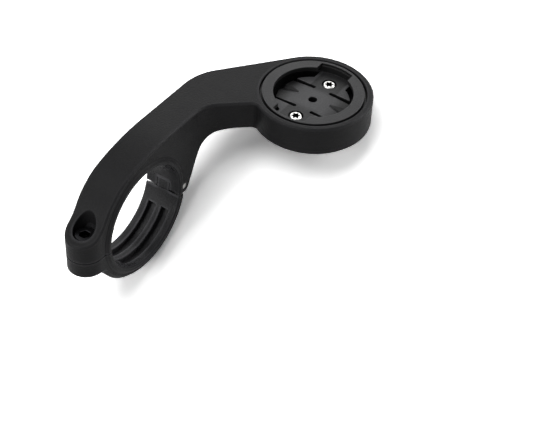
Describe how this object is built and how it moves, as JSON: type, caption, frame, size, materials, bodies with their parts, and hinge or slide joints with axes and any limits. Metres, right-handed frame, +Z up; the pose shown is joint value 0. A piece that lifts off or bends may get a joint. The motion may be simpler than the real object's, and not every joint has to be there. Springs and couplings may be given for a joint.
{
  "type": "bike computer mount",
  "caption": "Out-front handlebar mount for a bike computer: hinged screw clamp, arm bent forward and to one side, round head with a quarter-turn socket.",
  "frame": {"origin": "centre of the bar bore, halfway along its width", "axes": "+Y along the handlebar, +X forward towards the head, +Z up out of the socket"},
  "size_m": [0.1054, 0.0563, 0.046],
  "materials": {
    "glass_filled_nylon": "matte, fine moulded grain",
    "moulded_acetal": "satin, moulded",
    "stainless_steel": "bright, turned",
    "black_oxide_steel": "dark, satin"
  },
  "bodies": {
    "mount_arm": {"arm": "glass_filled_nylon", "quarter_turn_insert": "moulded_acetal", "insert_screws": "stainless_steel", "hinge_pin": "stainless_steel"},
    "clamp_screw": {"clamp_screw": "black_oxide_steel"},
    "clamp_nut": {"clamp_nut": "black_oxide_steel"},
    "lower_jaw": {"lower_jaw": "glass_filled_nylon"}
  },
  "joints": [
    {"name": "clamp_nut_slide", "type": "slide", "parent": "mount_arm", "child": "clamp_nut", "axis": [0, 0, -1], "range_m": [0, 0.0028]},
    {"name": "clamp_screw_turn", "type": "hinge", "parent": "mount_arm", "child": "clamp_screw", "pos_m": [-0.0218, 0, 0], "axis": [0, 0, 1], "range_deg": [0, 1440]},
    {"name": "jaw_hinge", "type": "hinge", "parent": "mount_arm", "child": "lower_jaw", "pos_m": [0.0207, 0, -0.0023], "axis": [0, -1, 0], "range_deg": [0, 3.47]}
  ],
  "couplings": [
    {"joint": "clamp_screw_turn", "follows": "clamp_nut_slide", "rad_per_m": 8976},
    {"joint": "jaw_hinge", "follows": "clamp_nut_slide", "rad_per_m": 21.572}
  ]
}
